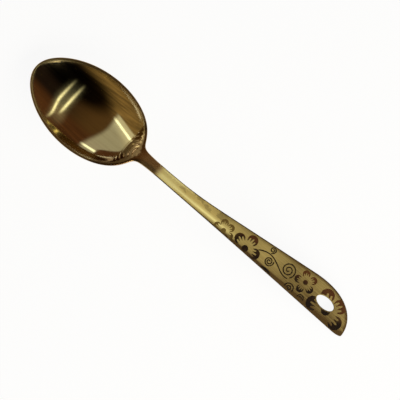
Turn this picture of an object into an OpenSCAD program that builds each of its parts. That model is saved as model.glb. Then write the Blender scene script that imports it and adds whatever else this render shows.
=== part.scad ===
// Serving spoon. A drawn bowl and a pressed handle meet in a brazed scarf in the neck.
// The handle's face has shallow recesses filled with dark enamel: four flowers, a vine and scrolls.
// Sizes are in millimetres. The handle runs along +X, the bowl opens to +Z, the table is Z = 0.

/* [Bowl] */
// Length from the bowl's tip to its widest place
bowl_front = 41; // [36:0.5:46]
// Length from the widest place to the neck
bowl_back = 35; // [31:0.5:39]
// Width over the rim
bowl_width = 47.2; // [40:0.2:54]
// Depth of the hollow below the rim
bowl_depth = 11; // [8:0.5:14]
// Thickness of the metal at the bottom
bowl_wall = 1.3; // [1:0.1:1.8]
// Thickness of the metal at the rim
rim_thickness = 1.1; // [0.9:0.1:1.4]
// Width of the rim seen from above
rim_width = 1.2; // [0.8:0.1:1.6]
// How much fuller the outline is toward the neck than toward the tip
egg_share = 0.05; // [0:0.01:0.1]
// How flat the bottom is and how steep the walls are
bowl_fullness = 0.2; // [0:0.05:0.4]
// Rise of the rim toward the neck for each millimetre
rim_rise = 0.11; // [0.08:0.005:0.14]

/* [Neck] */
// Width of the neck
neck_width = 6.3; // [6:0.1:7]
// Thickness of the neck's edge
neck_edge = 1.9; // [1.6:0.1:2.4]
// Height of the round of the neck's face
neck_crown = 0.9; // [0.5:0.1:1.2]
// Height of the round of the neck's underside
neck_belly = 0.8; // [0.4:0.1:1.2]
// Share of the hollow's depth that rounds over into the neck
shoulder_soft = 0.16; // [0.12:0.02:0.24]
// Distance of the hollow's edge from the outline at the neck
shoulder_inset = 1.6; // [1:0.1:2.4]
// Length before the bowl's end in which the rim turns into the neck
neck_lead = 14; // [10:0.5:18]
// Length over which the rim turns into the neck
neck_run = 24; // [18:0.5:30]
// Distance of the scarf's middle from the bowl's end
joint_reach = 12; // [10:0.5:15]
// Angle between the scarf and the neck
joint_angle = 25; // [22:1:40]

/* [Handle] */
// Length from the bowl's end to the handle's tip
handle_reach = 149; // [140:1:165]
// Distance of the straight edge from the spoon's axis
spine_offset = 3.3; // [2.8:0.1:4]
// Place where the other edge starts to flare, from the handle's tip
flare_start = 110; // [108:1:115]
// Sideways growth of the flared edge for each millimetre
flare = 0.153; // [0.149:0.001:0.162]
// Length over which the flare starts softly
flare_blend = 7.2; // [5:0.2:9]
// Length over which the round of the neck's underside runs out
belly_run = 70; // [50:1:90]
// Length over which the round of the neck's face turns into that of the handle
crown_run = 95; // [70:1:110]
// Length of the rounded end
end_round = 33; // [28:1:38]
// Length of the rounding at the straight edge's end
corner_round = 6; // [4:0.5:8]
// Distance of the tip from the spoon's axis
tip_offset = 1.8; // [1.2:0.1:2.4]
// Thickness at the tip
tip_thickness = 1.6; // [1.3:0.1:2]
// Height of the round of the handle's face
face_crown = 0.55; // [0.3:0.05:0.8]
// Height of the handle's edge above the table where the arch is highest
arch_height = 19.7; // [18:0.1:21.4]
// Place of the highest point of the arch, from the bowl's end
arch_start = 28; // [25:1:31]
// Radius of the arch at its highest point
arch_radius = 380; // [330:10:460]
// Fall of the handle at its tip for each millimetre
tip_fall = 0.17; // [0.12:0.01:0.22]

/* [Hanging hole] */
// Distance of the hole's middle from the handle's tip
hole_back = 18.4; // [17:0.2:20]
// Distance of the hole's middle from the spoon's axis
hole_side = 5.9; // [5:0.1:6.8]
// Length of the oval
hole_length = 11.6; // [10:0.2:13]
// Width of the oval
hole_width = 6.2; // [5.4:0.1:6.8]

/* [Ornament] */
// Depth of the recesses and of the fills
fill_depth = 0.25; // [0.2:0.05:0.4]
// Plain metal left along the edges and round the hole
land = 0.25; // [0.2:0.05:0.3]
// Width of the vine and of the scrolls
line_width = 0.66; // [0.55:0.01:0.7]

/* [First flower] */
// Distance of the eye from the handle's tip
flower_1_back = 86; // [85.5:0.1:87]
// Distance of the eye inside the straight edge
flower_1_inset = 1.7; // [1.5:0.1:1.8]
// Radius of a petal
flower_1_petal = 2.1; // [2:0.05:2.15]
// Distance of a petal's middle from the eye
flower_1_spread = 4.4; // [4.3:0.1:4.6]
// Radius of the eye
flower_1_eye = 1.4; // [1.1:0.05:1.5]
// Direction of the first petal
flower_1_turn = -3; // [-4:1:-1]

/* [Second flower] */
// Distance of the eye from the handle's tip
flower_2_back = 71; // [70.4:0.1:71.4]
// Distance of the eye inside the straight edge
flower_2_inset = 2.2; // [2:0.1:2.4]
// Radius of a petal
flower_2_petal = 3.05; // [2.8:0.05:3.1]
// Distance of a petal's middle from the eye
flower_2_spread = 6.1; // [5.9:0.1:6.3]
// Radius of the eye
flower_2_eye = 1.85; // [1.6:0.05:2]
// Direction of the first petal
flower_2_turn = 11; // [9:1:13]

/* [Third flower] */
// Distance of the eye from the handle's tip
flower_3_back = 33.9; // [33.5:0.1:34.2]
// Distance of the eye from the spoon's axis
flower_3_side = 7.1; // [6.8:0.1:7.3]
// Radius of a petal
flower_3_petal = 2.15; // [1.9:0.05:2.25]
// Distance of a petal's middle from the eye
flower_3_spread = 4.6; // [4.4:0.1:4.8]
// Radius of the eye
flower_3_eye = 1.4; // [1.2:0.05:1.6]
// Direction of the first petal
flower_3_turn = -21; // [-23:1:-18]

/* [Fourth flower] */
// Distance of the eye from the handle's tip
flower_4_back = 15.4; // [15.1:0.1:15.8]
// Distance of the eye from the spoon's axis
flower_4_side = 2.8; // [2.5:0.1:3]
// Radius of a petal
flower_4_petal = 4; // [3.8:0.05:4.1]
// Distance of a petal's middle from the eye
flower_4_spread = 8.4; // [8.2:0.1:8.6]
// Radius of the eye
flower_4_eye = 2.55; // [2.4:0.05:2.7]
// Direction of the first petal
flower_4_turn = -12; // [-14:1:-10]

/* [Vine and scrolls] */
// Distance of the vine's start from the handle's tip
vine_start = 66.2; // [65.8:0.1:66.6]
// Distance of the vine's start from the spoon's axis
vine_start_side = 2.3; // [2:0.1:2.6]
// Distance of the vine's end from the handle's tip
vine_end = 42.9; // [42.5:0.1:43.3]
// Distance of the vine's end from the spoon's axis
vine_end_side = 1.9; // [1.6:0.1:2.1]
// Sideways swing of the vine after its start
vine_swing = 8.9; // [8.6:0.1:9.2]
// Sideways dip of the vine before its end
vine_dip = 2.3; // [2:0.1:2.6]
// Distance of the curl's middle from the handle's tip
curl_back = 58.6; // [58.2:0.1:59]
// Distance of the curl's middle inside the flared edge
curl_inset = 2.6; // [2.5:0.1:2.8]
// Radius of the curl
curl_radius = 1.7; // [1.6:0.05:1.75]
// Distance of the small scroll's middle from the handle's tip
small_scroll_back = 56.5; // [56:0.1:57]
// Distance of the small scroll's middle from the spoon's axis
small_scroll_side = 2.4; // [2.1:0.1:2.5]
// Radius of the small scroll
small_scroll_radius = 2.7; // [2.6:0.05:2.8]
// Distance of the large scroll's middle from the handle's tip
large_scroll_back = 45.3; // [45:0.1:45.8]
// Distance of the large scroll's middle from the spoon's axis
large_scroll_side = 5.9; // [5.7:0.1:6.3]
// Radius of the large scroll
large_scroll_radius = 4.3; // [4:0.05:4.4]
// Distance of the arch at the straight edge from the handle's tip
edge_arch_back = 55; // [54:0.1:56]
// Radius of the arch at the straight edge
edge_arch_radius = 6.4; // [5.8:0.1:7]
// Width of the arch's band
edge_arch_width = 1.4; // [1.2:0.05:1.6]
// Height of the arch's band above the straight edge
edge_arch_rise = 1.2; // [1.1:0.05:1.4]
// Distance of the first edge scroll from the handle's tip
edge_scroll_1_back = 38.9; // [38:0.1:40]
// Radius of the first edge scroll
edge_scroll_1_radius = 2.8; // [2.6:0.05:3]
// Radius of the turn inside the first edge scroll
edge_scroll_1_inner = 1.5; // [1.4:0.05:1.6]
// Distance of the second edge scroll from the handle's tip
edge_scroll_2_back = 30.6; // [30:0.1:31]
// Radius of the second edge scroll
edge_scroll_2_radius = 1.95; // [1.9:0.05:2.1]
// Radius of the turn inside the second edge scroll
edge_scroll_2_inner = 0.8; // [0.75:0.05:0.85]
// Distance of the edge scrolls' middles inside the straight edge
edge_scroll_inset = 2; // [1.9:0.05:2.1]

/* [Hidden] */
brass = [0.72, 0.56, 0.27];
enamel = [0.13, 0.07, 0.05];
// places along the spoon, from the bowl's tip
widest = bowl_front;
neck_at = bowl_front + bowl_back;
total = neck_at + handle_reach;
flare_at = total - flare_start;
arch_at = neck_at + arch_start;
joint_at = neck_at + joint_reach;
// shares that shape the turn from the bowl into the neck, the rim and the rounded edges
neck_blend = 0.1;
neck_power = 2.2;
rim_soft = 0.03;
edge_share = 0.15;
// height that clears the whole spoon, for cuts seen from above
tall = 2*(arch_height + bowl_depth);
// length on each side of the joint over which the sections lean into the scarf
scarf_blend = 8;
// radius at the inner end of every scroll and angles that the edge scrolls sweep
scroll_eye = 0.4;
outer_sweep = 205;
inner_sweep = 400;
// share of its radius to which an open arc at the straight edge closes
arc_close = 0.86;
// each flower: eye back, eye side, spread, petal, eye radius, first direction, step, petals
flower_1 = [flower_1_back, flower_1_inset - spine_offset, flower_1_spread, flower_1_petal,
    flower_1_eye, flower_1_turn, 61.5, 4];
flower_2 = [flower_2_back, flower_2_inset - spine_offset, flower_2_spread, flower_2_petal,
    flower_2_eye, flower_2_turn, 73, 3];
flower_3 = [flower_3_back, flower_3_side, flower_3_spread, flower_3_petal,
    flower_3_eye, flower_3_turn, 72, 5];
flower_4 = [flower_4_back, flower_4_side, flower_4_spread, flower_4_petal,
    flower_4_eye, flower_4_turn, 67.5, 4];

// plain mathematics
function clip(t) = min(1, max(0, t));
function ease(t) = let (c = clip(t)) c*c*c*(10 + c*(6*c - 15));
function mix(a, b, t) = a + (b - a)*t;
function soft(q, e) = (q + sqrt(q*q + e*e))/2;
function join(a, b) = pow(pow(a, neck_power) + pow(b, neck_power), 1/neck_power);
// curve between two heights with given slopes and bends at both ends
function rise(t, h, p0, v0, a0, p1, v1, a1) = let (c = t*t*t)
    p0*(1 - c*(10 - 15*t + 6*t*t)) + v0*h*(t - c*(6 - 8*t + 3*t*t))
    + a0*h*h*t*t*(1 - t)*(1 - t)*(1 - t)/2
    + p1*c*(10 - 15*t + 6*t*t) + v1*h*c*(-4 + 7*t - 3*t*t) + a1*h*h*c*(1 - t)*(1 - t)/2;

// outline seen from above: s is the distance from the bowl's tip, and along runs from -1 at the tip
// over 0 at the widest place to 1 at the neck
function along(s, front_inset, back_inset) = let (half = (neck_at - front_inset - back_inset)/2,
    p = (s - front_inset - half)/half, w = (widest - front_inset - half)/half)
    p - w/(1 - w*w)*(1 - p*p);
function egg(u) = 1 + egg_share*u*u*u;
function bowl_half(s) = let (u = along(s, 0, 0), q = 1 - u*u)
    bowl_width/2*egg(u)*sqrt(u < 0 ? max(0.001, q) : soft(q, neck_blend*ease(u)))
    *(1 - ease((s - neck_at)/(flare_at - neck_at)));
function end_share(s) = min(0.9995, clip((s - total + end_round)/end_round));
function corner_share(s) = min(0.9995, clip((s - total + corner_round)/corner_round));
function flared(s) = neck_width/2 + flare*flare_blend*ln(1 + exp((s - flare_at)/flare_blend));
function handle_right(s) = -tip_offset + (flared(s) + tip_offset)*sqrt(1 - pow(end_share(s), 2));
function spine(s) = mix(neck_width/2, spine_offset, ease((s - neck_at)/(flare_at - neck_at)));
function handle_left(s) = -tip_offset - (spine(s) - tip_offset)*sqrt(1 - pow(corner_share(s), 2));
function right(s) = s > flare_at ? handle_right(s)
    : join(bowl_half(s), handle_right(s)*ease(along(s, 0, 0)));
function left(s) = s > flare_at ? handle_left(s)
    : -join(bowl_half(s), -handle_left(s)*ease(along(s, 0, 0)));

// heights: the edge's line, its thickness and the rounds of face and underside; floor_z is the table's
// height, found at the bowl's lowest place, which lies in front of the widest one
function edge_z(s) = let (z0 = bowl_depth + bowl_wall)
    s < widest ? z0 + rim_rise*(s - widest)
    : s < arch_at ? rise((s - widest)/(arch_at - widest), arch_at - widest, z0, rim_rise, 0,
        floor_z + arch_height, 0, -1/arch_radius)
    : rise((s - arch_at)/(total - arch_at), total - arch_at, floor_z + arch_height, 0, -1/arch_radius,
        floor_z + tip_thickness, -tip_fall, 0);
function to_neck(s) = ease((s - neck_at + neck_lead)/neck_run);
function edge_t(s) = mix(rim_thickness,
    mix(neck_edge, tip_thickness, clip((s - neck_at)/handle_reach)), to_neck(s));
function crown(s) = to_neck(s)*mix(neck_crown, face_crown, ease((s - joint_at)/crown_run))
    *(1 - pow(end_share(s), 2));
function belly(s) = to_neck(s)*neck_belly*(1 - ease((s - joint_at)/belly_run));
function across(s, y) = (2*y - right(s) - left(s))/(right(s) - left(s));
function hollow(s, y, inset, back_inset) = let (u = along(s, inset, back_inset),
    w = (bowl_width/2 - inset)*egg(u), r = u*u + y*y/(w*w))
    soft(1 - r*(1 - bowl_fullness + bowl_fullness*r),
        mix(rim_soft, shoulder_soft, ease((s - neck_at + neck_lead)/neck_lead)));
function top_z(s, y) = edge_z(s) + crown(s)*(1 - pow(across(s, y), 2))
    - bowl_depth*hollow(s, y, rim_width, shoulder_inset);
function under_z(s, y) = edge_z(s) - edge_t(s) - belly(s)*(1 - pow(across(s, y), 2))
    - (bowl_depth + bowl_wall - rim_thickness)*hollow(s, y, 0, 0);
floor_z = min([for (s = [widest - 20:0.25:widest - 0.25]) under_z(s, 0)]);

// one section: the face from left to right, the edge, the underside from right to left, the edge
function edge_in(s) = min(edge_share*edge_t(s), edge_share*(right(s) - left(s))/2);
function border_in(s, border) = min(border, edge_share*(right(s) - left(s))/2);
function place(s, f, border) = let (e = edge_in(s), b = border_in(s, border))
    f < 0 ? left(s) + e : f > 1 ? right(s) - e : mix(left(s) + e + b, right(s) - e - b, f);
function spot_z(kind, s, y) = kind == 0 ? top_z(s, y) : kind == 1 ? under_z(s, y) : edge_z(s) - edge_t(s)/2;
function spot_y(kind, s, f, border) = kind == 2 ? right(s) : kind == 3 ? left(s) : place(s, f, border);
// sections lean into the scarf's plane near the joint
function lean(s) = abs(s - joint_at) > 3*scarf_blend ? 0
    : exp(-pow((s - joint_at)/scarf_blend, 2))/tan(joint_angle);
function middle_z(s) = edge_z(s) - edge_t(s)/2;
function shifted(kind, s, f, border, n, x) = n == 0 || lean(s) == 0 ? x
    : shifted(kind, s, f, border, n - 1,
        s + lean(s)*(spot_z(kind, x, spot_y(kind, x, f, border)) - middle_z(s)));
function spot(kind, s, f, border) = let (x = shifted(kind, s, f, border, 12, s),
    y = spot_y(kind, x, f, border))
    [x - total/2, y, spot_z(kind, x, y) - floor_z];
function section(s, face, back, border) = concat(
    [for (f = face) spot(0, s, f, border)],
    [spot(2, s, 0, border)],
    [for (i = [len(back) - 1:-1:0]) spot(1, s, back[i], border)],
    [spot(3, s, 0, border)]);

// solid through a row of sections
module loft(places, face, back, border) {
    n = len(face) + len(back) + 2;
    m = len(places);
    points = [for (s = places) each section(s, face, back, border)];
    sides = [for (i = [0:m - 2], j = [0:n - 1]) let (k = (j + 1)%n)
        each [[i*n + j, i*n + k, (i + 1)*n + k], [i*n + j, (i + 1)*n + k, (i + 1)*n + j]]];
    first = [for (j = [n - 1:-1:0]) j];
    last = [for (j = [0:n - 1]) (m - 1)*n + j];
    polyhedron(points, concat([first], sides, [last]));
}

face_rows = [-1, 0, 0.18, 0.39, 0.61, 0.82, 1, 2];
inner_rows = [for (f = face_rows) if (f >= 0 && f <= 1) f];
back_rows = [-1, 0.25, 0.5, 0.75, 2];
bowl_rows = concat([-1], [for (i = [0:16]) (1 - cos(11.25*i))/2], [2]);
bowl_places = concat(
    [for (i = [0:13]) bowl_front*(1 - cos(90*i/14))],
    [for (i = [0:9]) widest + bowl_back*sin(9*i)],
    [for (i = [0:5]) neck_at + joint_reach*pow(i/5, 1.3)]);
handle_run = total - end_round - joint_at;
handle_places = concat(
    [for (i = [0:20]) joint_at + handle_run*i/21],
    [for (i = [0:9]) total - end_round*(1 - sin(10*i))]);

// layer at the handle's face, reaching lift above it and sink below it
module face_layer(from_back, to_back, lift, sink) {
    near = [for (i = [1:len(handle_places) - 2])
        if (handle_places[i + 1] > total - from_back && handle_places[i - 1] < total - to_back)
            handle_places[i]];
    n = len(inner_rows);
    m = len(near);
    skin = [for (s = near, f = inner_rows) spot(0, s, f, land)];
    points = concat([for (p = skin) p + [0, 0, lift]], [for (p = skin) p - [0, 0, sink]]);
    upper = [for (i = [0:m - 2], j = [0:n - 2]) let (a = i*n + j)
        each [[a, a + 1, a + n + 1], [a, a + n + 1, a + n]]];
    lower = [for (t = upper) [t[0] + m*n, t[2] + m*n, t[1] + m*n]];
    rim = concat([for (j = [0:n - 1]) j], [for (i = [1:m - 1]) i*n + n - 1],
        [for (j = [n - 2:-1:0]) (m - 1)*n + j], [for (i = [m - 2:-1:1]) i*n]);
    walls = [for (i = [0:len(rim) - 1]) let (a = rim[i], b = rim[(i + 1)%len(rim)])
        each [[a, a + m*n, b + m*n], [a, b + m*n, b]]];
    polyhedron(points, concat(upper, lower, walls));
}

// flat shapes of the ornament
function oval(rx, ry, n) = [for (i = [0:n - 1]) [rx*cos(360*i/n), ry*sin(360*i/n)]];
function eye_at(f) = [total/2 - f[0], f[1]];
function petal_turn(f, i) = f[5] + f[6]*i;
function petal_at(f, i) = eye_at(f) + f[2]*[cos(petal_turn(f, i)), sin(petal_turn(f, i))];

module hanging_oval(grow) {
    translate([total/2 - hole_back, hole_side])
        polygon(oval(hole_length/2 + grow, hole_width/2 + grow, 40));
}

// light finger that reaches into a petal from the flower's middle
module finger(r, side) {
    hull() {
        translate([0.2*r - 0.28*r*abs(side), 0.55*r*side])
            circle(0.12*r, $fn = 6);
        translate([-1.05*r, 0.33*r*side])
            circle(0.27*r, $fn = 6);
    }
}

// petal of a flower, clear of the hole and of the shapes given as children
module petal(f, i) {
    difference() {
        translate(petal_at(f, i))
            rotate(petal_turn(f, i))
                difference() {
                    polygon(oval(0.95*f[3], f[3], 14));
                    for (side = [-1, 0, 1])
                        finger(f[3], side);
                }
        hanging_oval(land);
        children();
    }
}

module eye(f) {
    difference() {
        translate(eye_at(f))
            circle(f[4], $fn = 12);
        hanging_oval(land);
    }
}

// ground that a flower keeps for itself
module ground(f) {
    for (i = [0:f[7] - 1])
        translate(petal_at(f, i))
            polygon(oval(f[3] + land, f[3] + land, 14));
    translate(eye_at(f))
        polygon(oval(f[4] + land, f[4] + land, 14));
}

// band of even width along a row of points
module ribbon(path, width) {
    n = len(path);
    turn = [for (i = [0:n - 1]) let (d = path[min(n - 1, i + 1)] - path[max(0, i - 1)]) d/norm(d)];
    polygon(concat(
        [for (i = [0:n - 1]) path[i] + width/2*[-turn[i][1], turn[i][0]]],
        [for (i = [n - 1:-1:0]) path[i] - width/2*[-turn[i][1], turn[i][0]]]));
}

function coil(middle, r0, r1, from, sweep, n) = [for (i = [0:n])
    let (r = mix(r0, r1, i/n), a = from + sweep*i/n) middle + r*[cos(a), sin(a)]];
function bend(a, b, c, d, n) = [for (i = [0:n]) let (t = i/n, q = 1 - t)
    q*q*q*a + 3*q*q*t*b + 3*q*t*t*c + t*t*t*d];
function vine_path() = let (a = [total/2 - vine_start, vine_start_side],
    d = [total/2 - vine_end, vine_end_side], run = (d - a)[0])
    bend(a, a + [0.46*run, vine_swing], d - [0.29*run, vine_dip], d, 16);

module first_petal_shape(i) {
    petal(flower_1, i)
        ground(flower_2);
}

module second_petal_shape(i) {
    petal(flower_2, i);
}

module third_petal_shape(i) {
    petal(flower_3, i)
        ground(flower_4);
}

module fourth_petal_shape(i) {
    petal(flower_4, i);
}

module vine_shape() {
    difference() {
        ribbon(vine_path(), line_width);
        ground(flower_2);
        ground(flower_3);
    }
}

// shape clear of the vine
module beside_vine() {
    difference() {
        children();
        ribbon(vine_path(), line_width + 2*land);
    }
}

module curl_shape() {
    middle = [total/2 - curl_back, handle_right(total - curl_back) - curl_inset];
    side = middle + [curl_radius, 0];
    foot = middle - curl_radius*[0.5, 1.6];
    lead = bend(foot, foot + curl_radius*[0.7, 0.3], side - [0, 0.7*curl_radius], side, 6);
    turns = coil(middle, curl_radius, scroll_eye, 0, 500, 14);
    beside_vine()
        ribbon(concat(lead, [for (i = [1:len(turns) - 1]) turns[i]]), line_width);
}

module small_scroll_shape() {
    beside_vine()
        ribbon(coil([total/2 - small_scroll_back, small_scroll_side], small_scroll_radius, scroll_eye,
            35, -740, 24), line_width);
}

module large_scroll_shape() {
    difference() {
        beside_vine()
            ribbon(coil([total/2 - large_scroll_back, large_scroll_side], large_scroll_radius, scroll_eye,
                -44, 760, 26), line_width);
        ground(flower_3);
    }
}

module edge_arch_shape() {
    difference() {
        ribbon(coil([total/2 - edge_arch_back, edge_arch_rise - spine_offset - edge_arch_radius],
            edge_arch_radius, edge_arch_radius, 50, 80, 10), edge_arch_width);
        ground(flower_2);
    }
}

module edge_scroll_shape(back, r, r1, sweep) {
    difference() {
        ribbon(coil([total/2 - back, edge_scroll_inset - spine_offset], r, r1, 90 + outer_sweep/2,
            -sweep, 12), line_width);
        ground(flower_3);
        ground(flower_4);
    }
}

module all_shapes() {
    for (i = [0:flower_1[7] - 1])
        first_petal_shape(i);
    for (i = [0:flower_2[7] - 1])
        second_petal_shape(i);
    for (i = [0:flower_3[7] - 1])
        third_petal_shape(i);
    for (i = [0:flower_4[7] - 1])
        fourth_petal_shape(i);
    for (f = [flower_1, flower_2, flower_3, flower_4])
        eye(f);
    vine_shape();
    curl_shape();
    small_scroll_shape();
    large_scroll_shape();
    edge_arch_shape();
    edge_scroll_shape(edge_scroll_1_back, edge_scroll_1_radius, arc_close*edge_scroll_1_radius, outer_sweep);
    edge_scroll_shape(edge_scroll_1_back, edge_scroll_1_inner, scroll_eye, inner_sweep);
    edge_scroll_shape(edge_scroll_2_back, edge_scroll_2_radius, arc_close*edge_scroll_2_radius, outer_sweep);
    edge_scroll_shape(edge_scroll_2_back, edge_scroll_2_inner, arc_close*edge_scroll_2_inner, outer_sweep);
}

// pieces
module bowl() {
    color(brass)
        loft(bowl_places, bowl_rows, bowl_rows, rim_width);
}

module handle() {
    color(brass)
        difference() {
            loft(handle_places, face_rows, back_rows, land);
            translate([0, 0, -tall/2])
                linear_extrude(tall)
                    hanging_oval(0);
            intersection() {
                face_layer(total, 0, fill_depth, fill_depth);
                linear_extrude(tall)
                    all_shapes();
            }
        }
}

// enamel fill of one shape, flush with the handle's face, for places between two distances from the tip
module enamel_fill(from_back, to_back) {
    color(enamel)
        intersection() {
            face_layer(from_back, to_back, 0, fill_depth);
            linear_extrude(tall)
                children();
        }
}

module petal_fill(f, i) {
    place_back = total/2 - petal_at(f, i)[0];
    enamel_fill(place_back + f[3], place_back - f[3])
        children();
}

module first_petal(i) {
    petal_fill(flower_1, i)
        first_petal_shape(i);
}

module second_petal(i) {
    petal_fill(flower_2, i)
        second_petal_shape(i);
}

module third_petal(i) {
    petal_fill(flower_3, i)
        third_petal_shape(i);
}

module fourth_petal(i) {
    petal_fill(flower_4, i)
        fourth_petal_shape(i);
}

module flower_eye(f) {
    enamel_fill(f[0] + f[4], f[0] - f[4])
        eye(f);
}

module vine_stem() {
    enamel_fill(vine_start + line_width, vine_end - line_width)
        vine_shape();
}

module vine_curl() {
    reach = curl_radius + line_width;
    enamel_fill(curl_back + reach, curl_back - reach)
        curl_shape();
}

module small_scroll() {
    reach = small_scroll_radius + line_width;
    enamel_fill(small_scroll_back + reach, small_scroll_back - reach)
        small_scroll_shape();
}

module large_scroll() {
    reach = large_scroll_radius + line_width;
    enamel_fill(large_scroll_back + reach, large_scroll_back - reach)
        large_scroll_shape();
}

module edge_arch() {
    reach = edge_arch_radius + edge_arch_width;
    enamel_fill(edge_arch_back + reach, edge_arch_back - reach)
        edge_arch_shape();
}

module edge_scroll(back, r, r1, sweep) {
    reach = r + line_width;
    enamel_fill(back + reach, back - reach)
        edge_scroll_shape(back, r, r1, sweep);
}

module edge_scroll_1_outer() {
    edge_scroll(edge_scroll_1_back, edge_scroll_1_radius, arc_close*edge_scroll_1_radius, outer_sweep);
}

module edge_scroll_1_inner() {
    edge_scroll(edge_scroll_1_back, edge_scroll_1_inner, scroll_eye, inner_sweep);
}

module edge_scroll_2_outer() {
    edge_scroll(edge_scroll_2_back, edge_scroll_2_radius, arc_close*edge_scroll_2_radius, outer_sweep);
}

module edge_scroll_2_inner() {
    edge_scroll(edge_scroll_2_back, edge_scroll_2_inner, arc_close*edge_scroll_2_inner, outer_sweep);
}

bowl();
handle();
first_petal(0);  // flower_1_petal_1
first_petal(1);  // flower_1_petal_2
first_petal(2);  // flower_1_petal_3
first_petal(3);  // flower_1_petal_4
flower_eye(flower_1);  // flower_1_eye
second_petal(0);  // flower_2_petal_1
second_petal(1);  // flower_2_petal_2
second_petal(2);  // flower_2_petal_3
flower_eye(flower_2);  // flower_2_eye
third_petal(0);  // flower_3_petal_1
third_petal(1);  // flower_3_petal_2
third_petal(2);  // flower_3_petal_3
third_petal(3);  // flower_3_petal_4
third_petal(4);  // flower_3_petal_5
flower_eye(flower_3);  // flower_3_eye
fourth_petal(0);  // flower_4_petal_1
fourth_petal(1);  // flower_4_petal_2
fourth_petal(2);  // flower_4_petal_3
fourth_petal(3);  // flower_4_petal_4
flower_eye(flower_4);  // flower_4_eye
vine_stem();
vine_curl();
small_scroll();
large_scroll();
edge_arch();
edge_scroll_1_outer();
edge_scroll_1_inner();
edge_scroll_2_outer();
edge_scroll_2_inner();
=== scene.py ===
# %% [markdown]
# # A serving spoon in brass and dark enamel
# The spoon is two pieces of brass, a drawn bowl and a pressed handle, brazed together in the neck. Shallow
# recesses in the handle's face are filled with dark enamel: four flowers, a vine and scrolls.
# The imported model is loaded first, as a fixed frame: +X runs down the handle, +Z is up, and lengths are metres.

# %% Load the frame
import math

import bpy
import numpy as np
from mathutils import Matrix, Vector
from mathutils.geometry import delaunay_2d_cdt


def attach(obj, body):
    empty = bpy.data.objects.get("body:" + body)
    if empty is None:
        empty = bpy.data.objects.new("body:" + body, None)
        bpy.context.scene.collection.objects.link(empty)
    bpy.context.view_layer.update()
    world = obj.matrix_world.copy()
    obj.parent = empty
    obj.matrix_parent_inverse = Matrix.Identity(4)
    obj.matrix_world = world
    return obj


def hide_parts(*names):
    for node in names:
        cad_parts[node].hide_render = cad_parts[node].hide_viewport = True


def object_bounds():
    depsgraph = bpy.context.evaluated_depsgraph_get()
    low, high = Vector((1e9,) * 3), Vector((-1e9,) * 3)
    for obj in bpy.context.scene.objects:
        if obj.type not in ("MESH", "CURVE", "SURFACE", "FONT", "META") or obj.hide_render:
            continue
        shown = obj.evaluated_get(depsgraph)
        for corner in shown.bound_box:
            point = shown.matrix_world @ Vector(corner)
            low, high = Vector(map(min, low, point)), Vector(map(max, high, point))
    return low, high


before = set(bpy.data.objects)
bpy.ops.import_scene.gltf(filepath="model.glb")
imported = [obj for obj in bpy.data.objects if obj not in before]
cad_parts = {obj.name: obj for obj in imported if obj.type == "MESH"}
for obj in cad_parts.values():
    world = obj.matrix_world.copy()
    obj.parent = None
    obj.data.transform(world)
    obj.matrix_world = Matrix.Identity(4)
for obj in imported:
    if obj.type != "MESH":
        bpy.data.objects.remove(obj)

cad_low, cad_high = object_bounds()
print("nodes:", len(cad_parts), "box:", [round(v, 4) for v in (*cad_low, *cad_high)])

# %% [markdown]
# ## The camera
# The photograph was taken almost straight from above, with the handle running to the lower right. A long lens far
# away keeps the perspective weak. The camera's three axes come from its azimuth and its height above the horizon.

# %% Camera
VIEW_AZIMUTH = math.radians(41.04)
VIEW_HEIGHT = math.radians(84)
VIEW_DISTANCE = 0.9
VIEW_TARGET = Vector((0.00526, 0.00344, 0.008))
VIEW_LENS = 147.25


def add_object(name, data):
    thing = bpy.data.objects.new(name, data)
    bpy.context.scene.collection.objects.link(thing)
    return thing


def aimed(place, side, back):
    """Matrix of a camera or lamp that looks away from back."""
    return Matrix.Translation(place) @ Matrix((side, back.cross(side), back)).transposed().to_4x4()


view_back = Vector((math.sin(VIEW_AZIMUTH)*math.cos(VIEW_HEIGHT),
                    -math.cos(VIEW_AZIMUTH)*math.cos(VIEW_HEIGHT), math.sin(VIEW_HEIGHT)))
view_right = Vector((math.cos(VIEW_AZIMUTH), math.sin(VIEW_AZIMUTH), 0))
camera = add_object("camera", bpy.data.cameras.new("camera"))
camera.data.lens = VIEW_LENS
camera.matrix_world = aimed(VIEW_TARGET + VIEW_DISTANCE*view_back, view_right, view_back)
bpy.context.scene.camera = camera
bpy.context.scene.view_settings.view_transform = "Standard"
print("camera at", [round(v, 3) for v in camera.location])

# %% [markdown]
# ## The spoon's sizes
# These are the sizes that the CAD model was built from, in millimetres, so the smooth skins below lie where the
# solids lie. A place along the spoon is s, the distance from the bowl's tip.

# %% Sizes in millimetres
MM = 0.001
TOTAL = (cad_high.x - cad_low.x)/MM
bowl_front, bowl_back, bowl_width = 41, 35, 47.2
bowl_depth, bowl_wall, bowl_fullness, egg_share = 11, 1.3, 0.2, 0.05
rim_thickness, rim_width, rim_rise, rim_soft = 1.1, 1.2, 0.11, 0.03
neck_width, neck_edge, neck_crown, neck_belly = 6.3, 1.9, 0.9, 0.8
neck_lead, neck_run, neck_blend, neck_power = 14, 24, 0.1, 2.2
shoulder_soft, shoulder_inset = 0.16, 1.6
joint_reach, joint_angle, scarf_blend = 12, 25, 8
spine_offset, flare, flare_start, flare_blend = 3.3, 0.153, 110, 7.2
belly_run, crown_run, face_crown = 70, 95, 0.55
end_round, corner_round, tip_offset, tip_thickness = 33, 6, 1.8, 1.6
arch_height, arch_start, arch_radius, tip_fall = 19.7, 28, 380, 0.17

widest = bowl_front
neck_at = bowl_front + bowl_back
joint_at = neck_at + joint_reach
arch_at = neck_at + arch_start
flare_at = TOTAL - flare_start
handle_reach = TOTAL - neck_at
print("length", round(TOTAL, 2), "bowl", neck_at, "by", bowl_width)

# %% [markdown]
# ## Smooth building blocks
# Every curve of the spoon is made of a few soft switches: a step that starts and stops gently, a corner that is
# rounded, a sum that lets the larger of two widths win, and a curve with a given height, slope and bend at each end.

# %% Soft switches
TINY = 1e-9


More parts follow.
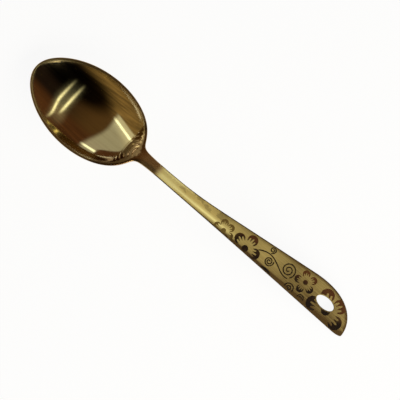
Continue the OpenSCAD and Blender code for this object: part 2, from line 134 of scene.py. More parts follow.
def ease(t):
    c = np.clip(t, 0, 1)
    return c**3*(10 + c*(6*c - 15))


def mix(a, b, t):
    return a + (b - a)*t


def soft(q, corner):
    return (q + np.sqrt(q*q + corner*corner))/2


def rise(t, run, start, finish):
    """Quintic curve over a run; start and finish are (height, slope, bend)."""
    c = t**3
    return (start[0]*(1 - c*(10 - 15*t + 6*t*t)) + start[1]*run*(t - c*(6 - 8*t + 3*t*t))
            + start[2]*run*run*t*t*(1 - t)**3/2 + finish[0]*c*(10 - 15*t + 6*t*t)
            + finish[1]*run*c*(-4 + 7*t - 3*t*t) + finish[2]*run*run*c*(1 - t)**2/2)


print("a soft step, a quarter of the way:", round(float(ease(0.25)), 3))

# %% [markdown]
# ## The outline from above
# The bowl is an egg whose full end lies toward the neck. The handle has one straight edge, and its other edge flares
# away from it and comes back in a long round to a pointed tip. In the neck the two widths flow into each other.

# %% Outline
def along(s, front_inset=0, back_inset=0):
    """-1 at the bowl's tip, 0 at its widest place, 1 at the neck."""
    half = (neck_at - front_inset - back_inset)/2
    p = (s - front_inset - half)/half
    w = (widest - front_inset - half)/half
    return p - w/(1 - w*w)*(1 - p*p)


def egg(u):
    return 1 + egg_share*u**3


def bowl_half(s):
    u = along(s)
    q = 1 - u*u
    round_end = np.where(u < 0, np.maximum(q, TINY), soft(q, neck_blend*ease(u)))
    fade = np.maximum(1 - ease((s - neck_at)/(flare_at - neck_at)), 0)
    return bowl_width/2*egg(u)*np.sqrt(round_end)*fade


def rounding(s, run):
    share = np.clip((s - TOTAL + run)/run, 0, 1)
    return np.sqrt(1 - share**2)


def flared_edge(s):
    flared = neck_width/2 + flare*flare_blend*np.logaddexp(0, (s - flare_at)/flare_blend)
    return -tip_offset + (flared + tip_offset)*rounding(s, end_round)


def straight_edge(s):
    spine = mix(neck_width/2, spine_offset, ease((s - neck_at)/(flare_at - neck_at)))
    return -tip_offset - (spine - tip_offset)*rounding(s, corner_round)


def flow(s, handle_half):
    whole = (bowl_half(s)**neck_power + np.abs(handle_half*ease(along(s)))**neck_power)**(1/neck_power)
    return np.where(s > flare_at, handle_half, whole)


def right(s):
    return flow(s, flared_edge(s))


def left(s):
    return -flow(s, -straight_edge(s))


narrow = neck_at + 14.0
print("width at the neck", round(float(right(narrow) - left(narrow)), 2), "mm")

# %% [markdown]
# ## The heights
# The rim climbs from the bowl's tip to the neck, runs over a low arch and comes down to the table at the handle's
# tip. The hollow is pressed into that line, and the handle's face and underside are slightly round from edge to edge.
# The bowl rests on its lowest place, which lies in front of its widest one.

# %% Heights
SEARCH_REACH, SEARCH_STEPS = 20, 200
LEAST_WIDTH = 0.3


def hollow(s, y, inset, back_inset):
    u = along(s, inset, back_inset)
    r = u*u + (y/((bowl_width/2 - inset)*egg(u)))**2
    corner = mix(rim_soft, shoulder_soft, ease((s - neck_at + neck_lead)/neck_lead))
    return soft(1 - r*(1 - bowl_fullness + bowl_fullness*r), corner)


def rim_line(s):
    return bowl_depth + bowl_wall + rim_rise*(s - widest)


front = np.linspace(widest - SEARCH_REACH, widest, SEARCH_STEPS)
press = bowl_depth + bowl_wall - rim_thickness
lowest = (rim_line(front) - rim_thickness - press*hollow(front, 0, 0, 0)).min()


def edge_line(s):
    crest = (lowest + arch_height, 0, -1/arch_radius)
    tip = (lowest + tip_thickness, -tip_fall, 0)
    rising = rise((s - widest)/(arch_at - widest), arch_at - widest, (rim_line(widest), rim_rise, 0), crest)
    falling = rise((s - arch_at)/(TOTAL - arch_at), TOTAL - arch_at, crest, tip)
    return np.where(s < widest, rim_line(s), np.where(s < arch_at, rising, falling))


def to_neck(s):
    return ease((s - neck_at + neck_lead)/neck_run)


def thickness(s):
    handle = mix(neck_edge, tip_thickness, np.clip((s - neck_at)/handle_reach, 0, 1))
    return mix(rim_thickness, handle, to_neck(s))


def across(s, y):
    """-1 on the straight edge, 1 on the flared one."""
    return (2*y - right(s) - left(s))/np.maximum(right(s) - left(s), LEAST_WIDTH)


def crown(s):
    return to_neck(s)*mix(neck_crown, face_crown, ease((s - joint_at)/crown_run))*rounding(s, end_round)**2


def belly(s):
    return to_neck(s)*neck_belly*(1 - ease((s - joint_at)/belly_run))


def face_height(s, y):
    return edge_line(s) + crown(s)*(1 - across(s, y)**2) - bowl_depth*hollow(s, y, rim_width, shoulder_inset)


def under_height(s, y):
    return edge_line(s) - thickness(s) - belly(s)*(1 - across(s, y)**2) - press*hollow(s, y, 0, 0)


print("rim at the bowl's tip", round(float(edge_line(0) - lowest), 2), "mm above the table")

# %% [markdown]
# ## Skins
# A skin turns places seen from above into points in space with their true normals. A mirror shows every flaw of a
# normal, so they come from the slope of the formula and not from the faces. Near the joint the places lean over,
# so that bowl and handle end on the same slanted scarf.

# %% Skin
SLOPE_STEP = 0.02
LEAST_LEAN, LEAN_ROUNDS = 1e-6, 12


def lean(s):
    return np.exp(-((s - joint_at)/scarf_blend)**2)/math.tan(math.radians(joint_angle))


def skin(plan, height, sink=0.0):
    """Points in metres and upward normals of a height over plan places (s, y), sunk by some millimetres."""
    s, y = plan[:, 0], plan[:, 1]
    share = across(s, y)
    middle = edge_line(s) - thickness(s)/2
    x, z = s, height(s, y) - sink
    for _ in range(LEAN_ROUNDS):
        x = s + lean(s)*(z - middle)
        y = np.where(lean(s) > LEAST_LEAN, mix(left(x), right(x), (share + 1)/2), plan[:, 1])
        z = height(x, y) - sink
    slope_x = (height(x + SLOPE_STEP, y) - height(x - SLOPE_STEP, y))/(2*SLOPE_STEP)
    slope_y = (height(x, y + SLOPE_STEP) - height(x, y - SLOPE_STEP))/(2*SLOPE_STEP)
    normals = np.stack([-slope_x, -slope_y, np.ones_like(x)], 1)
    points = np.stack([x - TOTAL/2, y, z - lowest], 1)*MM
    return points, normals/np.linalg.norm(normals, axis=1, keepdims=True)


print("lean at the joint:", round(float(lean(joint_at)), 2), "mm per mm of height")

# %% [markdown]
# ## Walking along an edge
# The outline is sampled at even steps, and each sample knows which way is outward. Rings of points that step inward
# from the outline make the rounded edge. The handle's inward directions are smoothed, so that its rings don't cross
# at the tip.

# %% Edge walk
EDGE_STEP, EDGE_TURNS, FINE_STEPS = 0.5, 6, 6000
RIM_ROUND, HANDLE_ROUND = 0.42, 0.17


def edge_radius(s):
    """The rim is fully round; the handle's edges are only broken."""
    return mix(RIM_ROUND, HANDLE_ROUND, to_neck(s))*thickness(s)


def even_places(edge, start, finish):
    """Places along one edge, EDGE_STEP apart along the curve."""
    s = start + (finish - start)*(1 - np.cos(np.linspace(0, np.pi, FINE_STEPS)))/2
    run = np.concatenate([[0], np.cumsum(np.hypot(np.diff(s), np.diff(edge(s))))])
    return np.interp(np.linspace(0, run[-1], int(run[-1]/EDGE_STEP)), run, s)


def outward(ring, smooth=0):
    """Unit normals of an open ring of plan points that turns anticlockwise."""
    turn = np.gradient(ring, axis=0)
    normal = np.stack([turn[:, 1], -turn[:, 0]], 1)
    normal /= np.linalg.norm(normal, axis=1, keepdims=True)
    if smooth:
        window = np.hanning(2*smooth + 3)
        padded = np.pad(normal, ((smooth + 1, smooth + 1), (0, 0)), mode="edge")
        normal = np.stack([np.convolve(padded[:, k], window/window.sum(), "valid") for k in (0, 1)], 1)
    return normal


def rolled(plan_at, radius, out, height, sign):
    """Rings of points and normals from a face over a rounding; sign is 1 above, -1 below."""
    flat = np.column_stack([out, np.zeros(len(out))])
    rows = []
    for turn in np.linspace(0, math.pi/2, EDGE_TURNS):
        points, normals = skin(plan_at(radius*(1 - math.sin(turn))), height, sign*radius*(1 - math.cos(turn)))
        rows.append((points, sign*normals*math.cos(turn) + flat*math.sin(turn)))
    return rows


def rounded_edge(ring, inward, height, sign):
    return rolled(lambda step: ring - inward*step[:, None], edge_radius(ring[:, 0]), outward(ring), height, sign)


print("rounding: rim", round(float(edge_radius(0)), 2), "mm, tip", round(float(edge_radius(TOTAL)), 2), "mm")

# %% [markdown]
# ## From arrays to a mesh
# One helper turns points, faces and normals into an object. Faces that are marked flat, such as cut walls, keep their
# own normals. A texture map runs across the spoon, because hairlines along the spoon smear a light that way. Each
# point also keeps three marks for the finish: how far across the spoon it lies, how far inside the outline, and
# whether it belongs to a flower.

# %% Mesh maker
INSET_STEP = 0.1
TIP_CLEAR, END_CLEAR = 0.5, 0.3


def inset(s, y):
    """Distance from the outline seen from above, in millimetres."""
    slopes = [(edge(s + INSET_STEP) - edge(s - INSET_STEP))/(2*INSET_STEP) for edge in (right, left)]
    return np.minimum((right(s) - y)/np.hypot(1, slopes[0]), (y - left(s))/np.hypot(1, slopes[1]))


def make_piece(name, points, faces, normals, material, node, flat=(), petal=0.0):
    mesh = bpy.data.meshes.new(name)
    mesh.from_pydata(points.tolist(), [], [list(map(int, f)) for f in faces])
    flat = set(flat)
    corner_normals = []
    for index, polygon in enumerate(mesh.polygons):
        polygon.use_smooth = index not in flat
        corner_normals += [(0, 0, 0) if index in flat else tuple(normals[v]) for v in polygon.vertices]
    mesh.normals_split_custom_set(corner_normals)
    corner = np.zeros(len(mesh.loops), np.int32)
    mesh.loops.foreach_get("vertex_index", corner)
    across_spoon = mesh.uv_layers.new(name="across_spoon")
    across_spoon.data.foreach_set("uv", (points[corner, 1::-1]/MM/TOTAL).astype(np.float32).ravel())
    s, y = np.clip(points[:, 0]/MM + TOTAL/2, TIP_CLEAR, TOTAL - END_CLEAR), points[:, 1]/MM
    for mark, values in (("side", across(s, y)), ("inset", inset(s, y)), ("petal", np.full(len(s), petal))):
        mesh.attributes.new(mark, "FLOAT", "POINT").data.foreach_set("value", values.astype(np.float32))
    mesh.materials.append(material)
    piece = add_object(name, mesh)
    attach(piece, "root")
    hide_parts(node)
    return piece


print("from the bowl's middle to its rim:", round(float(inset(widest, 0.0)), 1), "mm")

# %% [markdown]
# ## Nodes in one line
# Materials and the room are trees of nodes. One helper adds a node with its settings and links, and others go on from
# a node's output, which knows its tree.

# %% Nodes
def node_tree(owner):
    owner.use_nodes = True
    owner.node_tree.nodes.clear()
    return owner.node_tree


def add_node(tree, kind, **settings):
    """A node with its settings: names of properties, or sockets written as in_Name or in_0."""
    node = tree.nodes.new("ShaderNode" + kind)
    for name, value in settings.items():
        if name.startswith("in_"):
            key = name[3:].replace("_", " ")
            socket = node.inputs[int(key)] if key.isdigit() else node.inputs[key]
            if isinstance(value, bpy.types.NodeSocket):
                tree.links.new(value, socket)
            else:
                socket.default_value = value
        else:
            setattr(node, name, value)
    return node


def maths(operation, a, b=0.0):
    return add_node(a.id_data, "Math", operation=operation, in_0=a, in_1=b).outputs[0]


# %% [markdown]
# ## The studio
# A mirror is only as good as what it reflects. The spoon lies on white paper in a dim warm room. The paper glows for
# rays that see it directly, so that it stays white, and is plain matte paper for all other light.

# %% Floor
FLOOR_HALF, FLOOR_GLOW = 3.0, 0.92
PAPER_WHITE = (0.9, 0.9, 0.9, 1)


def seen_directly(tree):
    """1 for rays from the camera, off metal or through glass."""
    path = add_node(tree, "LightPath").outputs
    first = maths("MAXIMUM", path["Is Camera Ray"], path["Is Glossy Ray"])
    return maths("MAXIMUM", first, path["Is Transmission Ray"])


paper = bpy.data.materials.new("white_paper")
tree = node_tree(paper)
matte = add_node(tree, "BsdfDiffuse", in_Color=PAPER_WHITE)
glow = add_node(tree, "Emission", in_Color=(1, 1, 1, 1), in_Strength=1.0)
share = maths("MULTIPLY", seen_directly(tree), FLOOR_GLOW)
blend = add_node(tree, "MixShader", in_0=share, in_1=matte.outputs[0], in_2=glow.outputs[0])
add_node(tree, "OutputMaterial", in_Surface=blend.outputs[0])

floor_mesh = bpy.data.meshes.new("floor")
floor_mesh.from_pydata([(x*FLOOR_HALF, y*FLOOR_HALF, 0) for x, y in ((-1, -1), (1, -1), (1, 1), (-1, 1))],
                       [], [(0, 1, 2, 3)])
floor_mesh.materials.append(paper)
floor = add_object("floor", floor_mesh)
print("floor:", 2*FLOOR_HALF, "m square")

# %% [markdown]
# ## The room in the mirror
# The bowl shows the whole room in small, so the room is painted on the world as a round map. Straight up is its
# middle, and a place on it says by how many degrees a direction leans along the spoon and across it. Soft bands on
# that map make everything.

# %% Round map
def times(first, *others):
    for other in others:
        first = maths("MULTIPLY", first, other)
    return first


def soft_step(value, start, finish):
    """0 to 1 while a value goes from start to finish."""
    return add_node(value.id_data, "MapRange", interpolation_type="SMOOTHSTEP", in_0=value, in_1=start,
                    in_2=finish).outputs[0]


def band(value, low, high, blur):
    """1 between two values, with soft borders."""
    return times(soft_step(value, low - blur, low + blur), soft_step(value, high + blur, high - blur))


def distance(a, b):
    return add_node(a.id_data, "VectorMath", operation="DISTANCE", in_0=a, in_1=b).outputs["Value"]


def noise(place, scale, detail):
    spread = add_node(place.id_data, "Mapping", in_Vector=place, in_Scale=scale).outputs[0]
    return add_node(place.id_data, "TexNoise", in_Vector=spread, in_Scale=1.0, in_Detail=detail).outputs["Fac"]


world = bpy.data.worlds.new("room")
bpy.context.scene.world = world
tree = node_tree(world)
toward = add_node(tree, "TexCoord").outputs["Generated"]
x, y, z = add_node(tree, "SeparateXYZ", in_0=toward).outputs
from_up = maths("ARCCOSINE", z)
stretch = maths("DIVIDE", from_up, maths("MAXIMUM", maths("SINE", from_up), 0.001))
map_along, map_across = (times(way, stretch, math.degrees(1)) for way in (x, y))
map_place = add_node(tree, "CombineXYZ", in_0=map_along, in_1=map_across).outputs[0]
print("round map:", len(tree.nodes), "nodes")

# %% [markdown]
# ## Blends
# Three helpers mix paint: one adds up weighted values, one goes from a value or colour to another, one dims a colour.

# %% Blends
def weighted(base, *terms):
    """A base value plus terms (weight, value), kept between 0 and 1."""
    for weight, value in terms:
        base = add_node(value.id_data, "Math", operation="MULTIPLY_ADD", in_0=value, in_1=weight,
                        in_2=base).outputs[0]
    return add_node(base.id_data, "Clamp", in_0=base).outputs[0]


def between(share, low, high):
    """Value, or colour where high is a colour, at a share between two."""
    if isinstance(high, tuple):
        return add_node(share.id_data, "Mix", data_type="RGBA", in_0=share, in_6=low, in_7=high).outputs[2]
    return add_node(share.id_data, "Mix", in_0=share, in_2=low, in_3=high).outputs[0]


def lit(colour, share):
    return add_node(share.id_data, "VectorMath", operation="SCALE", in_0=colour, in_Scale=share).outputs[0]


# %% [markdown]
# ## Walls
# The room is panelled in brown wood. It is golden beyond the bowl's tip, reddish to one side, nearly black behind the
# handle and in one corner, and its boards run along the spoon, which gives the streaks near the bowl's rim. A pair
# says between which degrees of the map one wall turns into the next.

# %% Walls
GOLDEN_WALL, BROWN_WALL = (0.30, 0.20, 0.085, 1), (0.13, 0.072, 0.03, 1)
RED_WALL, DARK_WALL = (0.115, 0.048, 0.022, 1), (0.018, 0.011, 0.010, 1)
BROWN_TO_DARK, BROWN_TO_GOLDEN, BROWN_TO_RED = (-30, 14), (-50, -85), (25, 55)
DARK_CORNER, CORNER_REACH, CORNER_LEVEL = (6, -38, 0), (24, 52), 0.05
BOARDS = (0.03, 0.22, 1)
STREAKS_ONE_SIDE, STREAKS_OTHER_SIDE = (-20, -45), (35, 60)
PLAIN_LEVEL = 0.62

slanting = maths("ADD", map_along, map_across)
wall = between(soft_step(map_along, *BROWN_TO_DARK), BROWN_WALL, DARK_WALL)
wall = between(soft_step(slanting, *BROWN_TO_GOLDEN), wall, GOLDEN_WALL)
wall = between(soft_step(map_across, *BROWN_TO_RED), wall, RED_WALL)

grain = soft_step(noise(map_place, BOARDS, 5.0), 0.3, 0.7)
board_level = weighted(0.3, (0.7, grain))
boards_show = weighted(0.12, (0.7, soft_step(map_across, *STREAKS_ONE_SIDE)),
                       (0.4, soft_step(map_across, *STREAKS_OTHER_SIDE)))
out_of_corner = soft_step(distance(map_place, DARK_CORNER), *CORNER_REACH)
wall_level = times(weighted(CORNER_LEVEL, (1 - CORNER_LEVEL, out_of_corner)),
                   between(boards_show, PLAIN_LEVEL, board_level))
room = lit(wall, wall_level)
print("walls:", len(tree.nodes), "nodes so far")

# %% [markdown]
# ## Window
# A wide window stands beyond the bowl's tip. Its two slanting sides show as bright bars along the bowl. Lintel and
# sill bend, because what is straight in a room is round on the map.

# %% Window
DAYLIGHT, TUBELIGHT, LAMPLIGHT = (0.86, 0.99, 1.0), (0.95, 1.0, 0.82), (1.0, 0.95, 0.80)
LINTEL, LINTEL_BEND, LINTEL_SAG = (-39, -47), (0, 65), 8
SILL, SILL_BEND, SILL_SAG = (-81, -78), (22, 62), 27
NEAR_SLANT, NEAR_SIDE, NEAR_BAR, NEAR_GLOW = 0.4545, (-58, -54), (-45.2, -39.7, 1.0), (-56, -30, 8)
FAR_SLANT, FAR_SIDE, FAR_BAR = 0.25, (98, 88), (76, 81.5, 1.2)
PANE_LEVEL, GLOW_LEVEL, BAR_LEVEL = 0.32, 0.15, 1.3

lintel = maths("SUBTRACT", map_along, times(soft_step(map_across, *LINTEL_BEND), LINTEL_SAG))
sill = maths("SUBTRACT", map_along, times(soft_step(map_across, *SILL_BEND), SILL_SAG))
near_lean = maths("ADD", map_across, times(map_along, NEAR_SLANT))
far_lean = maths("SUBTRACT", map_across, times(map_along, FAR_SLANT))
window = times(soft_step(lintel, *LINTEL), soft_step(sill, *SILL),
               soft_step(near_lean, *NEAR_SIDE), soft_step(far_lean, *FAR_SIDE))
near_bar = times(window, band(near_lean, *NEAR_BAR))
near_glow = times(window, band(near_lean, *NEAR_GLOW))
far_bar = times(window, band(far_lean, *FAR_BAR))
print("window:", len(tree.nodes), "nodes so far")

# %% [markdown]
# ## Lamp tubes
# Two lamp tubes run across the ceiling: a long one that bends toward a shorter one, with a faint glow round them. The
# lights are then added to the walls, each with its tint and its level.

# %% Tubes
FIRST_TUBE, FIRST_BEND, FIRST_SHIFT = (7, 9, 0.9), (20, 80), 4.2
FIRST_REACH, SECOND_REACH = ((-45, 30), (90, 50)), ((-45, 20), (60, 30))
SECOND_TUBE, HALO = (-1.3, 0.7, 0.9), (-3, 11, 4)
TUBE_LEVEL, HALO_LEVEL = 1.5, 0.12

first_line = maths("ADD", map_along, times(soft_step(map_across, *FIRST_BEND), FIRST_SHIFT))
first_reach, second_reach = (times(*(soft_step(map_across, *fade) for fade in reach))
                             for reach in (FIRST_REACH, SECOND_REACH))
tubes = maths("ADD", times(first_reach, band(first_line, *FIRST_TUBE)),
              times(second_reach, band(map_along, *SECOND_TUBE)))
halo = times(first_reach, band(first_line, *HALO))
for tint, level, share in (
        (DAYLIGHT, PANE_LEVEL, window), (DAYLIGHT, GLOW_LEVEL, near_glow), (DAYLIGHT, BAR_LEVEL, near_bar),
        (DAYLIGHT, BAR_LEVEL, far_bar), (TUBELIGHT, TUBE_LEVEL, tubes), (TUBELIGHT, HALO_LEVEL, halo)):
    light = lit(tint, times(share, level))
    room = add_node(tree, "VectorMath", operation="ADD", in_0=room, in_1=light).outputs[0]
background = add_node(tree, "Background", in_Color=room, in_Strength=1.0)
add_node(tree, "OutputWorld", in_Surface=background.outputs[0])
print("room:", len(tree.nodes), "nodes")

# %% [markdown]
# ## The fill light
# One real lamp is left: a broad soft box, low at the handle's end. It stands too low to show in the bowl from above,
# so it lights the satin handle and leaves the mirror dark.

# %% Lamp
FILL_PLACE = Vector((1.0, -0.2, 0.62))
FILL_WIDTH, FILL_TALL, FILL_RADIANCE = 2.2, 0.6, 7.5

lamp = bpy.data.lights.new("fill", "AREA")
lamp.shape = "RECTANGLE"
lamp.size, lamp.size_y = FILL_WIDTH, FILL_TALL
lamp.energy = FILL_RADIANCE*math.pi*FILL_WIDTH*FILL_TALL
lamp.color = LAMPLIGHT
lamp_back = FILL_PLACE.normalized()
lamp_side = Vector((0, 0, 1)).cross(lamp_back).normalized()
add_object("fill", lamp).matrix_world = aimed(FILL_PLACE, lamp_side, lamp_back)

# %% [markdown]
# ## Masks over the metal
# A finish is steered by masks, numbers from 0 to 1 over the surface. They come from the place along the spoon, from
# the marks that the mesh keeps and from noise. Places are millimetres from the spoon's middle, and a pair says where
# a mask starts and where it is full.

# %% Masks
def on_spoon(tree):
    return add_node(tree, "TexCoord").outputs["Object"]


def stretched_noise(tree, scale, detail=3.0):
    """Noise on the spoon; scale is cycles per millimetre along X, Y and Z."""
    return noise(on_spoon(tree), [k/MM for k in scale], detail)


def along_spoon(tree, *ramps):
    """Mask from places along the spoon; several ramps leave the stretch that they share."""
    x = add_node(tree, "SeparateXYZ", in_0=on_spoon(tree)).outputs["X"]
    return times(*(soft_step(x, start*MM, finish*MM) for start, finish in ramps))


def kept_mark(tree, mark, *ramps):
    """Mask from a number that the mesh keeps."""
    value = add_node(tree, "Attribute", attribute_name=mark).outputs["Fac"]
    return times(*(soft_step(value, *ramp) for ramp in ramps))


# %% [markdown]
# ## Polish
# The bowl is buffed to a mirror, and the wheel leaves hairlines along the spoon. It doesn't reach close under the
# rim, where a dull ring is left, and it runs out in the neck. From there on the handle is satin.

# %% Polish
# OUTLINE_SHADE is the thin band along the outline that gets painted shade.
BOWL_ONLY, UNDER_RIM, OUTLINE_SHADE = (-38, -46), (3.2, 1.0), (0.7, 0.2)
FINE_LINES, COARSE_LINES, COARSE_SHARE, LINE_NOISE = (0.03, 2.4, 0), (0.012, 1.3, 0), 0.6, (0.36, 0.64)
NECK, SATIN_HAZE, SATIN, AGED_AND_SHADED = ((-41, -35), (-18, -23)), (-35, -30), (-23.5, -19), (-4, 46)


def hairlines(tree, under_rim):
    fine, coarse = (stretched_noise(tree, scale, 4.0) for scale in (FINE_LINES, COARSE_LINES))
    mixed = add_node(tree, "Mix", in_0=COARSE_SHARE, in_2=fine, in_3=coarse).outputs[0]
    return times(soft_step(mixed, *LINE_NOISE), between(under_rim, 1.0, 0.3))


def polish(tree):
    """Masks of the polish, by name, with the roughness that follows from them."""
    # A ring just inside the bowl's rim is rougher, has fainter hairlines and is darker.
    under_rim = times(along_spoon(tree, BOWL_ONLY), kept_mark(tree, "inset", UNDER_RIM))
    lines = hairlines(tree, under_rim)
    satin = weighted(0.0, (0.2, along_spoon(tree, SATIN_HAZE)), (0.8, along_spoon(tree, SATIN)))
    neck = along_spoon(tree, *NECK)
    # Toward the handle's end the metal is rougher and darker, partly tarnish and partly painted shade.
    aged_and_shaded = along_spoon(tree, AGED_AND_SHADED)
    mirror = weighted(0.05, (0.05, lines), (0.26, under_rim), (0.12, neck))
    brushed = between(aged_and_shaded, between(lines, 0.54, 0.70), between(lines, 0.52, 0.66))
    return {"under_rim": under_rim, "lines": lines, "satin": satin, "neck": neck, "aged_and_shaded": aged_and_shaded,
            "outline": kept_mark(tree, "inset", OUTLINE_SHADE), "rough": between(satin, mirror, brushed)}


print("mirror up to", NECK[0][0], "mm, satin from", SATIN[1], "mm on")

# %% [markdown]
# ## Wear, painted shade and painted highlights
# The outline gets a thin line of painted shade, and a ring just inside the rim is darker. Toward the handle's end the
# brass darkens, partly with tarnish and partly with painted shade, and painted shade lies along both edges and toward
# the straight one. Faint worn marks lie between the neck and the first flower. Painted highlights brighten a line
# beside the straight edge, a strip at the flared one and the handle next to the neck.

# %% Wear and painted light
# The handle's end darkens with tarnish and with painted shade where it catches less light.
TIPWARD = (46, 84)
# Painted shade along the straight edge, toward the straight side and along the flared edge.
STRAIGHT_SHADE_BAND, STRAIGHT_SHADE_SIDE, SHADED_SIDE = (2.8, 0.0), (0.0, -0.4), (0.5, -0.9)
FLARED_SHADE_BAND, FLARED_SHADE_SIDE = (2.5, 0.4), (-0.1, 0.3)
MARKS_STRETCH, MARKS_SIDE, MARKS_NOISE = ((-18, -12), (30, 20)), (-0.2, 0.2), (0.49, 0.57)
# Painted highlights: a line beside the straight edge, a strip at the flared one and the stretch next to the neck.
HIGHLIGHT_LINE_END, HIGHLIGHT_LINE_BROAD, HIGHLIGHT_LINE_NARROW = (40, 10), ((-0.8, -0.5), (0.1, -0.3)), ((-0.58, -0.44), (-0.22, -0.36))
HIGHLIGHT_STRIP_END, HIGHLIGHT_STRIP_SIDE = (6, -6), (0.45, 0.75)
MID_HIGHLIGHT_END, HIGHLIGHT_START = (-2, -12), (-24, -18)


def wear_and_shade(tree, finish, scratch):
    """How far the metal has darkened."""
    aged_and_shaded, lines = finish["aged_and_shaded"], finish["lines"]
    # Painted shade in bands along the straight and the flared edge, where the face rolls away from the light.
    straight = times(kept_mark(tree, "inset", STRAIGHT_SHADE_BAND), kept_mark(tree, "side", STRAIGHT_SHADE_SIDE))
    flared = times(kept_mark(tree, "inset", FLARED_SHADE_BAND), kept_mark(tree, "side", FLARED_SHADE_SIDE))
    marks = times(soft_step(stretched_noise(tree, (0.17, 0.25, 0.25)), *MARKS_NOISE),
                  kept_mark(tree, "side", MARKS_SIDE), along_spoon(tree, *MARKS_STRETCH))
    cloud = stretched_noise(tree, (0.05, 0.09, 0.09))
    return weighted(
        -0.15 - 0.5*scratch, (0.6, aged_and_shaded), (0.2, along_spoon(tree, TIPWARD)), (0.6, times(aged_and_shaded, straight)),
        (0.16, times(aged_and_shaded, kept_mark(tree, "side", SHADED_SIDE))),
        (0.2, times(finish["satin"], straight)), (0.2, times(aged_and_shaded, flared)),
        (0.8, finish["outline"]), (0.7, finish["under_rim"]), (0.3, cloud), (scratch, lines), (0.3, marks))


def painted_highlights(tree, finish):
    """How much painted highlight lies on the satin."""
    line = times(along_spoon(tree, HIGHLIGHT_LINE_END), weighted(
        0.0, (0.5, kept_mark(tree, "side", *HIGHLIGHT_LINE_BROAD)), (0.5, kept_mark(tree, "side", *HIGHLIGHT_LINE_NARROW))))
    strip_highlight = times(along_spoon(tree, HIGHLIGHT_STRIP_END), kept_mark(tree, "side", HIGHLIGHT_STRIP_SIDE))
    mid_highlight = times(along_spoon(tree, MID_HIGHLIGHT_END), 0.5)
    return times(along_spoon(tree, HIGHLIGHT_START), weighted(0.0, (1.0, line), (0.8, strip_highlight), (1.0, mid_highlight)),
                 between(finish["outline"], 1.0, 0.0))


print("darkens from", AGED_AND_SHADED[0], "to", TIPWARD[1], "mm")

# %% [markdown]
# ## The shoulder
# Between the hollow and the neck lies a small shoulder, brown with painted shade. It starts at a crease that is
# darker still with painted shade, and marks of the planishing hammer lie in rings round the neck's root. They are so
# fine that a bump of the surface shows them. The neck's reddish brown is a painted reflection, and beside the crease
# the inside of the rim is darker brown.

# %% Shoulder
# SHOULDER_SHADE and CREASE_SHADE are browns of painted shade on the shoulder and in its crease.
HOLLOW_END, CREASE_END, SHOULDER_END = (-44.8, -43.6), (-40.5, -42.0), (-33, -38)
# The dark patch is a darker brown inside the rim beside the crease.
DARK_PATCH_STRETCH, DARK_PATCH_BAND, DARK_PATCH_SIDE = ((-57, -51), (-36, -40)), (5.4, 4.2), (-0.2, -0.5)
NECK_ROOT, RING_STEP, RING_DEPTH, RING_BAND = (-35.5, -0.5, 0), 2.4, 0.06, (1.0, 4.0)
# NECK_REFLECTION_BROWN is a painted reddish-brown reflection on the neck.
NECK_REFLECTION_BROWN, SHOULDER_SHADE = (0.78, 0.46, 0.19, 1), (0.38, 0.22, 0.08, 1)
CREASE_SHADE, DARK_PATCH_BROWN = (0.17, 0.10, 0.03, 1), (0.17, 0.09, 0.03, 1)


def rings_round(tree, middle):
    """Waves round a place seen from above, in millimetres from the spoon's middle."""
    plan = add_node(tree, "Mapping", in_Vector=on_spoon(tree), in_Scale=(1/MM, 1/MM, 0)).outputs[0]
    return maths("SINE", times(distance(plan, middle), 2*math.pi/RING_STEP))


def shoulder(tree, finish, metal, bump):
    """The metal's colour with painted reflection, painted shade and a dark patch, and the bump with the rings."""
    ledge = along_spoon(tree, HOLLOW_END, SHOULDER_END)
    dark_patch = times(along_spoon(tree, *DARK_PATCH_STRETCH), kept_mark(tree, "inset", DARK_PATCH_BAND),
                  kept_mark(tree, "side", DARK_PATCH_SIDE))
    inside_outline = between(finish["outline"], 0.85, 0.0)
    for mask, share, brown in (
            (finish["neck"], inside_outline, NECK_REFLECTION_BROWN), (ledge, 0.8, SHOULDER_SHADE),
            (along_spoon(tree, HOLLOW_END, CREASE_END), 0.9, CREASE_SHADE), (dark_patch, 0.9, DARK_PATCH_BROWN)):
        metal = between(times(mask, share), metal, brown)
    rings = times(ledge, kept_mark(tree, "inset", RING_BAND), rings_round(tree, NECK_ROOT))
    ripple = add_node(tree, "Bump", in_Strength=1.0, in_Distance=RING_DEPTH*MM, in_Height=rings, in_Normal=bump)
    return metal, ripple.outputs[0]


print("shoulder from", HOLLOW_END[0], "to", SHOULDER_END[0], "mm")

# %% [markdown]
# ## Brass
# Both pieces are the same alloy, and one recipe makes both finishes. Satin metal scatters some light under its skin
# of wax, so it isn't fully metallic.

# %% Brass recipe
# Pale brass colour of the painted highlights.
HIGHLIGHT_BRASS = (1.0, 0.9, 0.42, 1)
HAIRLINE_DEPTH = 0.02


def brass(name, clean, tarnish_and_shade, smear, scratch, relief):
    material = bpy.data.materials.new(name)
    tree = node_tree(material)
    finish = polish(tree)
    bump = add_node(tree, "Bump", in_Strength=relief, in_Distance=HAIRLINE_DEPTH*MM, in_Height=finish["lines"])
    # The darkened colour carries wear, tarnish and painted shade.
    metal = between(wear_and_shade(tree, finish, scratch), clean, tarnish_and_shade)
    metal, normal = shoulder(tree, finish, metal, bump.outputs[0])
    # The painted highlights lighten the colour and lower the metallic share.
    highlight = painted_highlights(tree, finish)
    tangent = add_node(tree, "Tangent", direction_type="UV_MAP", uv_map="across_spoon")
    shader = add_node(tree, "BsdfPrincipled", in_Base_Color=between(highlight, metal, HIGHLIGHT_BRASS),
                      in_Metallic=weighted(1.0, (-0.28, finish["satin"]), (-0.22, highlight)),
                      in_Roughness=finish["rough"], in_Normal=normal, in_Anisotropic=smear,
                      in_Tangent=tangent.outputs[0], in_Specular_IOR_Level=0.2)
    add_node(tree, "OutputMaterial", in_Surface=shader.outputs[0])
    print(name, len(tree.nodes), "nodes")
    return material


